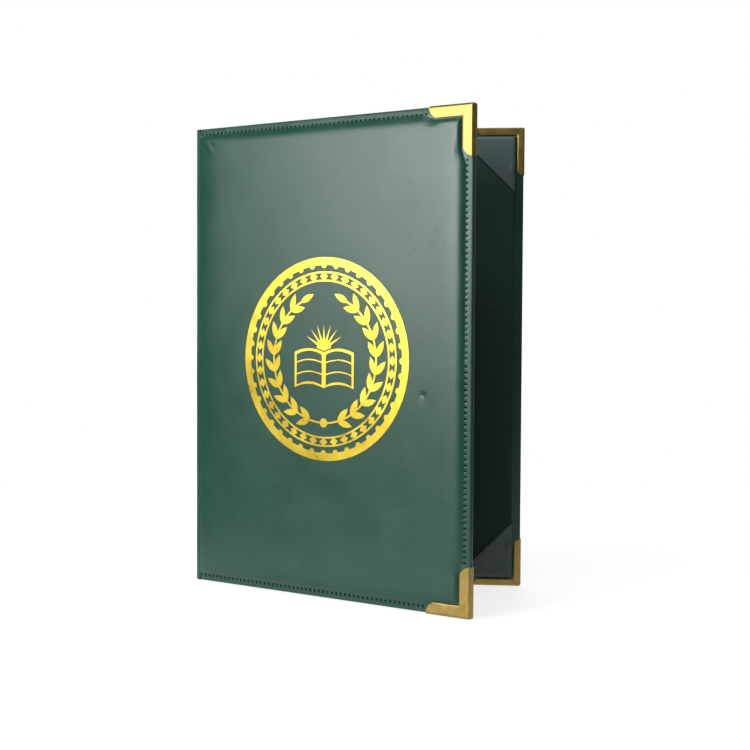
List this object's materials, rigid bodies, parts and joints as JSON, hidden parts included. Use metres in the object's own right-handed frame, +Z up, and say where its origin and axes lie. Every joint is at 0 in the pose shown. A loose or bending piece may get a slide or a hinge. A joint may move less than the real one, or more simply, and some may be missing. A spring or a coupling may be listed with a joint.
{
  "type": "diploma cover",
  "caption": "Padded leatherette cover for an A4 diploma, standing ajar, with brass corners, a gold foil seal and corner pockets inside.",
  "frame": {"origin": "under the middle of the whole, on the surface that the cover stands on", "axes": "+Z up along the spine, -X towards the spine, +X towards the open mouth, -Y towards the front cover, +Y towards the back cover"},
  "size_m": [0.215, 0.1222, 0.3111],
  "materials": {
    "leatherette": "semi-gloss grained",
    "lining": "matt",
    "pocket": "satin",
    "board": "matt",
    "foam": "matt",
    "brass": "polished",
    "foil": "hot-stamped foil"
  },
  "bodies": {
    "back_cover": {"back_leatherette": "leatherette", "back_inner_strip": "leatherette", "back_board": "board", "back_foam": "foam", "back_lining": "lining", "back_corner_top": "brass", "back_corner_bottom": "brass", "pocket_outer_top": "pocket", "pocket_outer_bottom": "pocket", "pocket_spine_bottom": "pocket", "pocket_spine_top": "pocket"},
    "spine": {"spine_leatherette": "leatherette", "spine_inner_strip": "leatherette"},
    "front_cover": {"front_leatherette": "leatherette", "front_inner_strip": "leatherette", "front_board": "board", "front_foam": "foam", "front_lining": "lining", "front_corner_bottom": "brass", "front_corner_top": "brass", "seal_border": "foil", "seal_ring": "foil", "seal_wreath": "foil", "seal_book": "foil", "seal_sun": "foil"}
  },
  "joints": [
    {"name": "back_fold", "type": "hinge", "parent": "back_cover", "child": "spine", "pos_m": [-0.10679, 0.0048, 0.15555], "axis": [0, 0, -1], "range_deg": [-14.5, 75.5]},
    {"name": "front_fold", "type": "hinge", "parent": "spine", "child": "front_cover", "pos_m": [-0.10679, -0.0048, 0.15555], "axis": [0, 0, -1], "range_deg": [-14.5, 75.5]}
  ]
}
